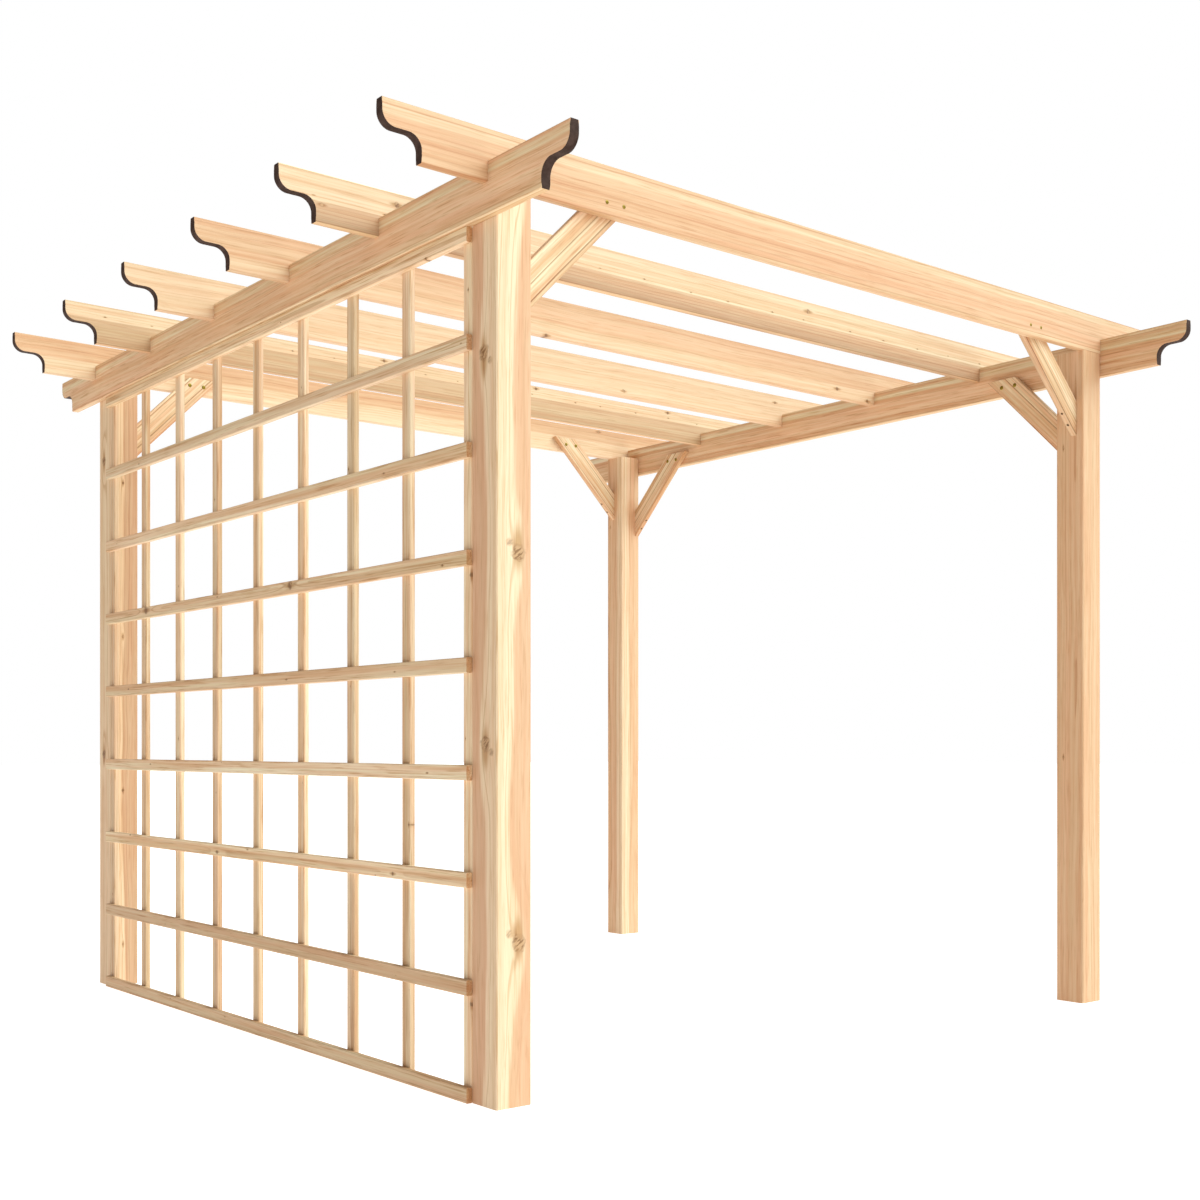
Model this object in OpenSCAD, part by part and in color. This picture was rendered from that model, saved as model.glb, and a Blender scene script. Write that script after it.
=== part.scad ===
// Garden pergola: four posts, two beams with cross-halved rafters, braces and one trellis side.
// Millimetres. Origin on the ground in the middle of the plan, +Z up, front at -Y, trellis at -X.

/* [Plan] */
// Width over the posts, along the rafters
plan_w = 2400; // [1600:10:3600]
// Depth over the posts, along the beams
plan_d = 2400; // [1600:10:3600]
// How far the beams and the rafters run on past the posts
overhang = 300; // [180:5:500]

/* [Edges] */
// Chamfer planed on the long edges of the posts
post_arris = 3; // [1:0.5:8]
// Chamfer planed on the long edges of the boards and the battens
board_arris = 2; // [0.5:0.5:4]

/* [Posts] */
// Side of the square posts
post_side = 98; // [80:1:150]
// Height of the posts, which is the headroom under the rafters
post_h = 2100; // [1800:10:2700]

/* [Beams] */
// Thickness of the two beams, which lie on the outer faces of the posts
beam_t = 24; // [18:1:50]
// Height of the beams
beam_h = 120; // [100:1:180]
// How far the beams hang below the tops of the posts
beam_drop = 72; // [60:1:90]

/* [Rafters] */
// Thickness of the rafters, which stand on the tops of the posts
rafter_t = 24; // [18:1:45]
// Height of the rafters
rafter_h = 120; // [100:1:180]
// Play on each side of a halving joint between a rafter and a beam
halving_play = 0.2; // [0:0.1:1]

/* [Scroll ends] */
// Length of the ogee scroll on the ends of the beams and the rafters
scroll_l = 100; // [75:1:160]
// Radius of the two curves of the scroll
scroll_r = 34; // [15:1:36]

/* [Braces] */
// Width of the braces, across the grain
brace_w = 80; // [50:1:110]
// Thickness of the braces
brace_t = 22; // [16:1:40]
// Depth of a brace's foot below the board that it carries
brace_foot = 272; // [200:1:400]
// How far the top of a brace laps up the side of that board
brace_lap = 55; // [30:1:60]

/* [Trellis] */
// Width of the trellis battens
batten_w = 36; // [20:1:60]
// Thickness of the trellis battens
batten_t = 16; // [10:1:24]
// Number of level battens, on the outside
rail_count = 9; // [4:1:14]
// Number of upright battens, between the posts
upright_count = 9; // [4:1:14]

/* [Hidden] */

// Rafters from the front to the back, one flush with each row of posts
rafter_count = 6;
rafter_pitch = (plan_d - rafter_t) / (rafter_count - 1);
rafter_l = plan_w + 2 * overhang;
beam_l = plan_d + 2 * overhang;

// Inner faces of the posts, measured from the middle of the plan
inner_x = plan_w / 2 - post_side;
inner_y = plan_d / 2 - post_side;

// Underside of the beams, and the height that beam and rafter share at a crossing
beam_z = post_h - beam_drop;
lap = beam_h - beam_drop;
halving = lap / 2;

// Room between the left posts for the trellis, and the spacing of its battens
bay_d = 2 * inner_y;
rail_pitch = (beam_z - batten_w) / (rail_count - 1);
upright_pitch = (bay_d - batten_w) / (upright_count - 1);

// Cutting shapes run on this far past the wood
over = 1;

pine = [0.95, 0.82, 0.63];
pine_pink = [0.95, 0.76, 0.58];
pine_dark = [0.86, 0.70, 0.51];

// Where the near face of rafter i stands, counted from 0 at the front
function rafter_y(i) = -plan_d / 2 + i * rafter_pitch;

// Wood that the saw takes off one end of a board of height h: the origin is at the tip of the board,
// half way up. A round nose above runs level into a hollow below, which ends square to the lower edge.
module scroll_waste(h) {
    difference() {
        translate([-scroll_r, 0]) square([scroll_r + over, scroll_r]);
        translate([-scroll_r, scroll_r]) circle(r = scroll_r, $fn = 96);
    }
    translate([-scroll_l + scroll_r, -h / 2 - over]) square([scroll_l - scroll_r + over, h / 2 + over]);
    translate([-scroll_l, -h / 2 - over]) square([scroll_r + over, h / 2 + over - scroll_r]);
    translate([-scroll_l + scroll_r, -scroll_r]) circle(r = scroll_r, $fn = 96);
}

// End view of a stick of wood, centred, with its four edges planed off at 45 degrees
module eased_section(w, h, arris) {
    intersection() {
        square([w, h], center = true);
        rotate(45) square(sqrt(2) * ((w + h) / 2 - arris), center = true);
    }
}

// A planed stick, centred: l along x, w along y and t along z
module eased_stick(l, w, t) {
    rotate([90, 0, 90]) linear_extrude(l, center = true) eased_section(w, t, board_arris);
}

// A board with a scroll on both ends, as it lies on the bench: its length is centred on x,
// its lower edge is on y = 0 and its thickness goes up from z = 0
module scroll_board(l, h, t) {
    intersection() {
        translate([0, h / 2, t / 2]) eased_stick(l, h, t);
        linear_extrude(t)
        difference() {
            translate([-l / 2, 0]) square([l, h]);
            for (end = [0, 1])
                mirror([end, 0]) translate([l / 2, h / 2]) scroll_waste(h);
        }
    }
}

// A brace at 45 degrees, lying on z = 0: a planed stick with its foot cut plumb on x = 0 and its top
// cut level, where y = 0 is the underside of the board that it carries
module brace() {
    reach = brace_foot + brace_lap;
    translate([0, -brace_foot, 0])
    intersection() {
        cube([reach, reach, brace_t]);
        rotate(45) translate([reach / sqrt(2), brace_w / 2, brace_t / 2])
            eased_stick(2 * reach, brace_w, brace_t);
    }
}

// A post at one corner of the plan: side_x and side_y are -1 or 1
module post(side_x, side_y) {
    color(pine)
    translate([side_x * (plan_w - post_side) / 2, side_y * (plan_d - post_side) / 2, 0])
    linear_extrude(post_h) eased_section(post_side, post_side, post_arris);
}

// A beam on the outer faces of two posts, notched from above for every rafter
module beam(side_x) {
    color(pine_dark)
    translate([side_x > 0 ? plan_w / 2 : -plan_w / 2 - beam_t, 0, beam_z])
    rotate([90, 0, 90])
    difference() {
        scroll_board(beam_l, beam_h, beam_t);
        for (i = [0 : rafter_count - 1])
            translate([rafter_y(i) - halving_play, beam_h - halving, -over])
                cube([rafter_t + 2 * halving_play, halving + over, beam_t + 2 * over]);
    }
}

// A rafter across the post tops or the beams, notched from below over both beams
module rafter(i) {
    color(i % 2 == 0 ? pine : pine_pink)
    translate([0, rafter_y(i) + rafter_t, post_h])
    rotate([90, 0, 0])
    difference() {
        scroll_board(rafter_l, rafter_h, rafter_t);
        for (end = [0, 1])
            mirror([end, 0, 0]) translate([plan_w / 2 - halving_play, -over, -over])
                cube([beam_t + 2 * halving_play, halving + over, rafter_t + 2 * over]);
    }
}

// A brace from a post's inner face to the inner face of the first or the last rafter
module rafter_brace(side_x, side_y) {
    far_face = side_y < 0 ? rafter_y(0) + rafter_t + brace_t : rafter_y(rafter_count - 1);
    color(pine_pink)
    mirror([side_x > 0 ? 1 : 0, 0, 0])
    translate([-inner_x, far_face, post_h])
    rotate([90, 0, 0]) brace();
}

// A brace from a post's inner face to the inner face of the right beam
module beam_brace(side_y) {
    color(pine_pink)
    mirror([0, side_y > 0 ? 1 : 0, 0])
    translate([plan_w / 2 - brace_t, -inner_y, beam_z])
    rotate([90, 0, 90]) brace();
}

// The trellis between the left posts: uprights flush with the posts' outer faces, rails across them
module trellis() {
    color(pine_dark) {
        for (i = [0 : rail_count - 1])
            translate([-(plan_w + batten_t) / 2, 0, i * rail_pitch + batten_w / 2])
                rotate(90) eased_stick(bay_d, batten_t, batten_w);
        for (i = [0 : upright_count - 1])
            translate([(batten_t - plan_w) / 2, i * upright_pitch + batten_w / 2 - inner_y, beam_z / 2])
                rotate([0, -90, 0]) eased_stick(beam_z, batten_w, batten_t);
    }
}

post(-1, -1);  // post_front_left
post(1, -1);  // post_front_right
post(-1, 1);  // post_back_left
post(1, 1);  // post_back_right
beam(-1);  // beam_left
beam(1);  // beam_right
rafter(0);  // rafter_1
rafter(1);  // rafter_2
rafter(2);  // rafter_3
rafter(3);  // rafter_4
rafter(4);  // rafter_5
rafter(5);  // rafter_6
rafter_brace(-1, -1);  // brace_front_left
rafter_brace(1, -1);  // brace_front_right
rafter_brace(-1, 1);  // brace_back_left
rafter_brace(1, 1);  // brace_back_right
beam_brace(-1);  // brace_side_front
beam_brace(1);  // brace_side_back
trellis();
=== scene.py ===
# %% [markdown]
# A garden pergola of planed softwood: four posts, two long beams, six rafters halved over them, six
# braces and a trellis on one side. The solids come ready made in the frame, at their real size, so this
# lesson is about finish: how to give every stick its own timber without a single picture file, how to
# stain the sawn scroll ends, and how to add the screws. First the frame is loaded, and the box of any
# part can be read from it.

# %% Load the frame
import math

import bpy
import numpy as np
from mathutils import Matrix, Vector


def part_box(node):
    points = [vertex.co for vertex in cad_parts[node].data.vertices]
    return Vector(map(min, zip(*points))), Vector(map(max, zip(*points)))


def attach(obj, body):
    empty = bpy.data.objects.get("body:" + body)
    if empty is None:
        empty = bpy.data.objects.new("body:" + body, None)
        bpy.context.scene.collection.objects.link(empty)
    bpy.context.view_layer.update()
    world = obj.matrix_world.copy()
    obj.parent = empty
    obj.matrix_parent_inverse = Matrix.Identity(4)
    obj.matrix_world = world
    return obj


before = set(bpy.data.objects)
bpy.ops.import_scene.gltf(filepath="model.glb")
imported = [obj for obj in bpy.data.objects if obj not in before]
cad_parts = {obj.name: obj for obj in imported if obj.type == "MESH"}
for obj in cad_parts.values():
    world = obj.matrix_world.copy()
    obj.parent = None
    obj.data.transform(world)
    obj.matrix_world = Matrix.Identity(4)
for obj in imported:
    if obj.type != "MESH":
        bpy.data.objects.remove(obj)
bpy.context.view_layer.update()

# %% [markdown]
# The camera stands low, in front and to the left, and looks level, so that uprights stay upright in the
# picture. A view camera gets the roof into the frame by raising its lens and not by tilting, and shift
# does the same here. Its numbers are pixels of a square picture, turned into millimetres of film.

# %% Camera
PICTURE_PX = 1200
FOCAL_PX = 1519.7
AXIS_PX = (585.0, 746.3)
EYE = (-3.192, -4.014, 0.826)
LOOK_YAW = math.radians(-38.62)
FILM_MM = 36.0

camera_data = bpy.data.cameras.new("camera")
camera_data.sensor_width = FILM_MM
camera_data.lens = FOCAL_PX / PICTURE_PX * FILM_MM
camera_data.shift_x = 0.5 - AXIS_PX[0] / PICTURE_PX
camera_data.shift_y = AXIS_PX[1] / PICTURE_PX - 0.5
camera = bpy.data.objects.new("camera", camera_data)
camera.location = EYE
camera.rotation_euler = (math.pi / 2, 0, LOOK_YAW)
bpy.context.scene.collection.objects.link(camera)
bpy.context.scene.camera = camera
print("lens", round(camera_data.lens, 2), "mm")

# %% [markdown]
# Almost every material here is a chain of small nodes. A few helpers keep the chains readable: each adds
# one node, joins what it is given to the inputs and hands back the output, so that a formula reads from
# the inside out, as it would on paper. The last one opens an empty group.

# %% Node helpers
SOCKET_KINDS = {1: "NodeSocketFloat", 3: "NodeSocketVector", 4: "NodeSocketColor"}


def feed(node, inputs):
    """Links the sockets among the values to a node's inputs, and sets the other values."""
    for key, value in inputs.items():
        if isinstance(value, bpy.types.NodeSocket):
            node.id_data.links.new(value, node.inputs[key])
        else:
            node.inputs[key].default_value = value


def put(kind, inputs, out=0, tree=None, **settings):
    """Adds one shader node, feeds its inputs and returns one of its outputs.

    The node goes into the tree of the sockets it is given. A tree is named only where there are none.
    """
    for value in inputs.values():
        if isinstance(value, bpy.types.NodeSocket):
            tree = value.id_data
    node = tree.nodes.new("ShaderNode" + kind)
    for name, value in settings.items():
        setattr(node, name, value)
    feed(node, inputs)
    return node.outputs[out]


def calc(operation, *values):
    """One Math node: the operation on one, two or three values."""
    return put("Math", dict(enumerate(values)), operation=operation)


def times(first, second):
    """The product of two values."""
    return calc("MULTIPLY", first, second)


def minus(first, second):
    """The difference of two values."""
    return calc("SUBTRACT", first, second)


def scale_add(value, weight, start):
    """A value times its weight, added to a start."""
    return calc("MULTIPLY_ADD", value, weight, start)


def vector_calc(operation, *values, out=0):
    """One Vector Math node: the operation on one, two or three vectors."""
    return put("VectorMath", dict(enumerate(values)), out, operation=operation)


def split(vector):
    """The three parts of a vector."""
    return tuple(put("SeparateXYZ", {0: vector}).node.outputs)


def ease(value, low, high, first=0.0, last=1.0):
    """A smooth step: first below low, last above high, and an S curve between."""
    span = {"Value": value, "From Min": low, "From Max": high, "To Min": first, "To Max": last}
    return put("MapRange", span, interpolation_type="SMOOTHSTEP")


def blend(share, under, over, mode="MIX"):
    """Lays one colour over another, by a share from 0 to 1."""
    return put("Mix", {0: share, 6: under, 7: over}, 2, data_type="RGBA", blend_type=mode)


def tint(share, colour, by):
    """Multiplies a colour by another one, by a share from 0 to 1."""
    return blend(share, colour, by, "MULTIPLY")


def noise(vector, scale, detail=2.0):
    """Soft noise from 0 to 1, in three dimensions."""
    return put("TexNoise", {"Vector": vector, "Scale": scale, "Detail": detail})


def dice(number, out=0):
    """A value from 0 to 1, or with out=1 three of them, that depends only on a number."""
    return put("TexWhiteNoise", {"W": number}, out, noise_dimensions="1D")


def new_group(name, inputs, outputs):
    """An empty shader node group: returns its tree, what it is given and the node for its results.

    Inputs have their start values and outputs their number of parts, 1, 3 or 4, which gives the kind.
    """
    tree = bpy.data.node_groups.new(name, "ShaderNodeTree")
    for label, start in inputs.items():
        kind = SOCKET_KINDS[np.size(start)]
        tree.interface.new_socket(label, in_out="INPUT", socket_type=kind).default_value = start
    for label, parts in outputs.items():
        tree.interface.new_socket(label, in_out="OUTPUT", socket_type=SOCKET_KINDS[parts])
    return tree, tree.nodes.new("NodeGroupInput").outputs, tree.nodes.new("NodeGroupOutput")


print("kinds of sockets:", len(SOCKET_KINDS))

# %% [markdown]
# A knot is the foot of a branch: a rod of harder, browner wood, so a plank shows it as a round or a long
# oval, with cracks in it and with the grain flowing round it like a flame. A picture of a knot could be
# laid on a face, but a rod in the solid also comes out right on the next face. One group makes a whole
# row of them along a stick. The length is divided into cells and each cell holds one branch, either
# exactly in the middle, for knots that are placed one by one, or moved and turned by dice of its own. A
# knot may have a smaller twin beside it.

# %% Knot inputs
KNOT_INPUTS = {"Spacing": 0.8}
for label in ("Phase", "Roam", "Turn", "Spread", "Offset", "Scatter", "Size", "Twin", "Start"):
    KNOT_INPUTS[label] = 0.0
ROW_SEED = 17.3
SIZE_CHANCE = 1.5
SMALLEST_KNOT = 0.0004


def branch_distance(given):
    """How far a point is from its cell's branch, along the stick and across it, in radii of the knot.

    Dice of the cell's number move the branch by Roam, turn it by Spread, shift it by Scatter and change
    its size. Also returns the radius, and 1 where the branch has come out past its Start and 0 before.
    """
    x, y, z = split(given["Vector"])
    run = calc("DIVIDE", calc("ADD", x, given["Phase"]), given["Spacing"])
    cell = scale_add(given["Seed"], ROW_SEED, calc("FLOOR", run))
    place_die, turn_die, size_die = (minus(roll, 0.5) for roll in split(dice(cell, 1)))
    place = minus(calc("FRACT", run), 0.5)
    place = minus(place, times(place_die, given["Roam"]))
    along = times(place, given["Spacing"])
    angle = scale_add(turn_die, given["Spread"], given["Turn"])
    cosine, sine = calc("COSINE", angle), calc("SINE", angle)
    side = minus(times(z, cosine), times(y, sine))
    side = minus(side, scale_add(turn_die, given["Scatter"], given["Offset"]))
    outward = scale_add(y, cosine, times(z, sine))
    grown = calc("GREATER_THAN", outward, given["Start"])
    chance = times(size_die, times(given["Roam"], SIZE_CHANCE))
    radius = scale_add(chance, given["Size"], given["Size"])
    radius = calc("MAXIMUM", radius, SMALLEST_KNOT)
    return calc("DIVIDE", along, radius), calc("DIVIDE", side, radius), radius, grown


print("knot inputs:", len(KNOT_INPUTS))

# %% [markdown]
# For every point the group first asks how far it is from the branch of its cell, in radii of that knot.
# Core, rim and flame are then bands and bell curves of this distance, so a knot of any size keeps its
# proportions. Some noise makes the outline ragged.

# %% Knot group
RAGGED_SCALE, RAGGED_DETAIL, RAGGED_MAIN, RAGGED_TWIN = 75.0, 4.0, 1.3, 0.6
TWIN_ALONG, TWIN_ASIDE, TWIN_SHARE, TWIN_DEPTH = 1.15, -1.3, 0.6, 0.65
CORE_FADE, TWIN_FADE = (0.55, 1.15), (0.5, 1.1)
RIM_AT, RIM_WIDTH = 0.9, 0.3
FLOW_ALONG, FLOW_ASIDE, FLOW_TO_TWIN = -0.10, -1.4, -0.6
PUSH_ALONG, PUSH_ASIDE, PUSH_SHARE = -0.02, -0.4, 0.7


def make_knot_group():
    """A row of branches: for each point, how deep it is in a knot, in its rim and in the grain round it.

    The core fades out at one radius from the branch and the rim lies there. Flow and push are bell
    curves, long along the stick. Bend is how far the grain is pushed aside, in metres.
    """
    inputs = {"Vector": (0, 0, 0), "Seed": 0.0, **KNOT_INPUTS}
    tree, given, result = new_group("knots", inputs, {"Core": 1, "Rim": 1, "Flow": 1, "Bend": 1})
    along, side, radius, grown = branch_distance(given)
    side2 = times(side, side)
    ragged = minus(noise(given["Vector"], RAGGED_SCALE, RAGGED_DETAIL), 0.5)
    main = calc("SQRT", scale_add(along, along, side2))
    main = scale_add(ragged, RAGGED_MAIN, main)
    twin_along = minus(along, times(given["Twin"], TWIN_ALONG))
    twin_side = minus(side, times(given["Twin"], TWIN_ASIDE))
    twin = times(twin_side, twin_side)
    twin = calc("SQRT", scale_add(twin_along, twin_along, twin))
    twin = scale_add(ragged, RAGGED_TWIN, calc("DIVIDE", twin, TWIN_SHARE))
    core = ease(main, *CORE_FADE, 1.0, 0.0)
    core = calc("MAXIMUM", core, ease(twin, *TWIN_FADE, TWIN_DEPTH, 0.0))
    from_rim = calc("ABSOLUTE", minus(main, RIM_AT))
    rim = ease(from_rim, 0.0, RIM_WIDTH, 1.0, 0.0)
    tail = scale_add(given["Twin"], FLOW_TO_TWIN, along)
    tail = times(times(tail, tail), FLOW_ALONG)
    flow = calc("EXPONENT", scale_add(side2, FLOW_ASIDE, tail))
    far = times(times(along, along), PUSH_ALONG)
    push = calc("EXPONENT", scale_add(side2, PUSH_ASIDE, far))
    push = times(times(push, PUSH_SHARE), grown)
    feed(result, {"Core": times(core, grown), "Rim": times(rim, grown)})
    feed(result, {"Flow": times(flow, grown), "Bend": times(push, radius)})
    return tree


knot_group = make_knot_group()
print("knot group:", len(knot_group.nodes), "nodes")

# %% [markdown]
# Timber is solid all through, and so is this one: the pattern is a block of tree, and each stick is sawn
# out of it. Rings are the distance from the pith, a line that runs along the trunk beside or through the
# stick. Near the pith lies the peach heartwood, and outside it the cream sapwood. A wave texture on each
# face would be simpler, but here faces, edges and end grain agree, because nothing is painted on. First
# comes all that a stick may say about itself.

# %% Softwood inputs
SAPWOOD = (0.780, 0.555, 0.350, 1)
HEARTWOOD = (0.695, 0.415, 0.233, 1)
# Painted light: the edge tint and the strip tint lighten bands of some planks as painted highlight, and
# the late wood tint also draws a thin painted shade line before the edges, as light on a small bevel would
# give.
LATE_AND_SHADE_TINT = (0.66, 0.50, 0.34, 1)
EDGE_HIGHLIGHT_TINT = (1.03, 1.14, 1.16, 1)
HIGHLIGHT_STRIP_TINT = (1.04, 1.26, 1.36, 1)
SOFTWOOD_INPUTS = {
    "Vector": (0, 0, 0), "Seed": 0.0, "Pith": (0, 0, 0), "Heart": 0.1, "Heart edge": 0.008,
    "Sway": 0.022, "Wander": 0.006, "Ring": 0.008, "Ring depth": 0.5, "Late start": 0.5,
    "Streaks": 0.6, "Flecks": 0.5, "Grain": 1.0, "Edge": 1.0, "Strip": 1.0, "Strip fade": 0.006,
    "End": 0.0, "Dead": 0.0, "Late wood": LATE_AND_SHADE_TINT, "Edge highlight": EDGE_HIGHLIGHT_TINT,
    "Strip tint": HIGHLIGHT_STRIP_TINT, "Sapwood": SAPWOOD, "Heartwood": HEARTWOOD,
}
KNOT_ROWS = ("A", "B", "C")
print("softwood inputs:", len(SOFTWOOD_INPUTS), "and", len(KNOT_ROWS), "rows of knots")

# %% [markdown]
# A trunk is never quite straight, so the grain wanders along a stick. The stick's seed moves the point to
# a part of the tree of its own, and there its length is shortened before any noise is read. Noise then
# comes out long and thin, at widths from a thumb down to a hair.

# %% Place in the tree
SEED_STEP = (1.7, 3.1, 5.3)
WANDER_STEPS = (2.2, 2.5, 2.5)
GRAIN_NOISE = {
    "slow": (0.07, 14.0, 3.0), "quick": (0.12, 55.0, 2.0), "broad": (0.03, 34.0, 2.0),
    "medium": (0.035, 85.0, 2.0), "fine": (0.025, 190.0, 2.0), "fleck": (0.06, 270.0, 3.0),
    "fibre": (0.012, 1000.0, 2.0),
}


def tree_place(given):
    """The point on the wandering grain, and the same point in this stick's own part of the tree.

    Slow noise, less its mean, times Wander moves the point to both sides. Grain shortens its length, and
    the seed moves it away by a step of its own.
    """
    shift = put("VectorMath", {0: SEED_STEP, "Scale": given["Seed"]}, operation="SCALE")
    slow_place = vector_calc("MULTIPLY_ADD", given["Vector"], WANDER_STEPS, shift)
    drift = put("TexNoise", {"Vector": slow_place, "Scale": 1.0, "Detail": 1.0}, 1)
    drift = vector_calc("SUBTRACT", drift, (0.5, 0.5, 0.5))
    sideways = put("CombineXYZ", {1: given["Wander"], 2: given["Wander"]})
    grain = vector_calc("MULTIPLY_ADD", drift, sideways, given["Vector"])
    squeeze = put("CombineXYZ", {0: given["Grain"], 1: 1.0, 2: 1.0})
    return grain, vector_calc("MULTIPLY_ADD", grain, squeeze, shift)


def grain_noises(place):
    """All the noises listed above: each has a share of the length, a scale and a detail."""
    noises = {}
    for name, (share, scale, detail) in GRAIN_NOISE.items():
        shortened = vector_calc("MULTIPLY", place, (share, 1, 1))
        noises[name] = noise(shortened, scale, detail)
    return noises


def weigh(*pairs):
    """The sum of values, each times its weight."""
    total = 0.0
    for value, weight in pairs:
        total = scale_add(value, weight, total)
    return total


print("noises along the grain:", ", ".join(GRAIN_NOISE))

# %% [markdown]
# A ring is a year. Its last weeks leave a line of dark late wood, strong after a good summer and faint
# after a poor one, so each year rolls a die. Knots push the rings aside, so they are worked out first.

# %% Rings and knots
LATE_PEAK, LATE_DROP = 0.92, 0.93
FAINT_YEAR, STRONG_YEAR, FAINTEST_LINE = 0.25, 0.95, 0.12
BAND_SEED, BAND_SCALE = 31.7, 0.55


def gather_knots(given):
    """All rows of knots as one: the deepest core, rim and flow, and the sum of the bends."""
    rows = []
    for row in KNOT_ROWS:
        links = {label: given[f"{row} {label}"] for label in KNOT_INPUTS}
        links.update({"Vector": given["Vector"], "Seed": given["Seed"]})
        rows.append(put("Group", links, node_tree=knot_group).node.outputs)
    knots = dict(rows[0].items())
    for row in rows[1:]:
        for label in ("Core", "Rim", "Flow"):
            knots[label] = calc("MAXIMUM", knots[label], row[label])
        knots["Bend"] = calc("ADD", knots["Bend"], row["Bend"])
    return knots


def grow_rings(given, grain, noises, bend):
    """Years as the distance from the pith, bent by noise and knots, divided by the ring's width.

    Returns the distance, the sway of the noise in it, the line of late wood at the end of each year and
    a tone that changes slowly from year to year.
    """
    from_pith = vector_calc("SUBTRACT", grain, given["Pith"])
    across = vector_calc("MULTIPLY", from_pith, (0, 1, 1))
    radius = vector_calc("LENGTH", across, out=1)
    sway = weigh((noises["slow"], 1.0), (noises["quick"], 0.2), (1.0, -0.6))
    radius = scale_add(sway, given["Sway"], calc("ADD", radius, bend))
    ring = calc("DIVIDE", radius, given["Ring"])
    year = calc("FRACT", ring)
    vigour = dice(calc("ADD", calc("FLOOR", ring), given["Seed"]))
    late = ease(year, given["Late start"], LATE_PEAK)
    late = times(late, ease(year, LATE_DROP, 1.0, 1.0, 0.0))
    late = times(late, ease(vigour, FAINT_YEAR, STRONG_YEAR, FAINTEST_LINE, 1.0))
    years = scale_add(given["Seed"], BAND_SEED, ring)
    band = put("TexNoise", {"W": years, "Scale": BAND_SCALE, "Detail": 1.0}, noise_dimensions="1D")
    return radius, sway, late, band


print("late wood ends at", LATE_DROP, "of a year")

# %% [markdown]
# The colour is laid on like glazes, and each is multiplied over those before it, so that the tones below
# still show: heart or sapwood, streaks, late wood, a strip of another tone, painted highlight along the
# edges of a plank with a thin painted shade line before it, flecks, fibres and end grain. Knots come last
# and cover what is under them.

# %% Softwood colour
TAN_TINT = (0.80, 0.68, 0.54, 1)
PALE_TINT = (1.11, 1.20, 1.31, 1)
PINK_TINT = (1.04, 0.94, 0.90, 1)
OLIVE_TINT = (0.95, 0.98, 0.92, 1)
FLOW_TINT = (0.65, 0.51, 0.36, 1)
KNOT_WOOD = (0.53, 0.310, 0.150, 1)
KNOT_CRACK = (0.20, 0.086, 0.026, 1)
STREAK_RANGE, HUE_RANGE = (0.38, 0.62), (0.30, 0.70)
STRIP_HALF, STRIP_SWAY = 0.006, 0.010
# The edge band is painted highlight, and the edge line is painted shade.
EDGE_SWAY, EDGE_FADE, EDGE_SHADE_LINE, EDGE_SHADE_DEPTH = 0.006, 0.002, 0.003, 0.5
FLOW_RANGE, CRACK_RANGE, DEAD_CRACKS = (0.15, 0.9), (0.38, 0.56), -0.25
CRACK_TURN, CRACK_SIZE, CRACK_DETAIL = (0.0, 0.6, 0.6), (0.0045, 0.020, 0.020), 3.0
CORE_SHARE, RIM_SHARE = 0.85, 0.2


def heart_and_streaks(given, radius, late, band, noises):
    """Heart inside a radius and sapwood outside it, then streaks of lightness, hue and late wood.

    The line between heart and sapwood is scattered by fine noise, within the heart's edge.
    """
    broad, medium, fine = noises["broad"], noises["medium"], noises["fine"]
    streak = weigh((broad, 0.25), (band, 0.25), (medium, 0.25), (fine, 0.25))
    streak_tint = blend(ease(streak, *STREAK_RANGE), TAN_TINT, PALE_TINT)
    hue = weigh((broad, -0.6), (medium, 0.9), (fine, 0.4), (band, 0.3))
    hue_tint = blend(ease(hue, *HUE_RANGE), PINK_TINT, OLIVE_TINT)
    scatter = times(minus(fine, 0.5), given["Heart edge"])
    edge = scale_add(scatter, 2.0, radius)
    low, high = (calc(sign, given["Heart"], given["Heart edge"]) for sign in ("SUBTRACT", "ADD"))
    colour = blend(ease(edge, low, high), given["Heartwood"], given["Sapwood"])
    colour = tint(given["Streaks"], colour, streak_tint)
    colour = tint(given["Streaks"], colour, hue_tint)
    return tint(times(late, given["Ring depth"]), colour, given["Late wood"])


def strip_and_edges(given, colour, sway):
    """A strip of another tone at one height, and painted highlight along both edges with a thin painted
    shade line before it.
    """
    _, _, height = split(given["Vector"])
    rise = scale_add(sway, STRIP_SWAY, height)
    from_strip = calc("ABSOLUTE", minus(rise, given["Strip"]))
    strip_end = calc("ADD", given["Strip fade"], STRIP_HALF)
    strip = ease(from_strip, STRIP_HALF, strip_end, 1.0, 0.0)
    # On the first rafter and the beams this strip is painted highlight; on the two-tone planks it darkens
    # the foot.
    colour = tint(strip, colour, given["Strip tint"])
    # Painted highlight along both edges, and before it a thin line of painted shade.
    rise = scale_add(sway, EDGE_SWAY, calc("ABSOLUTE", height))
    beyond = minus(rise, given["Edge"])
    colour = tint(ease(beyond, 0.0, EDGE_FADE), colour, given["Edge highlight"])
    line = ease(calc("ABSOLUTE", beyond), 0.0, EDGE_SHADE_LINE, EDGE_SHADE_DEPTH, 0.0)
    return tint(line, colour, LATE_AND_SHADE_TINT)


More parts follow.
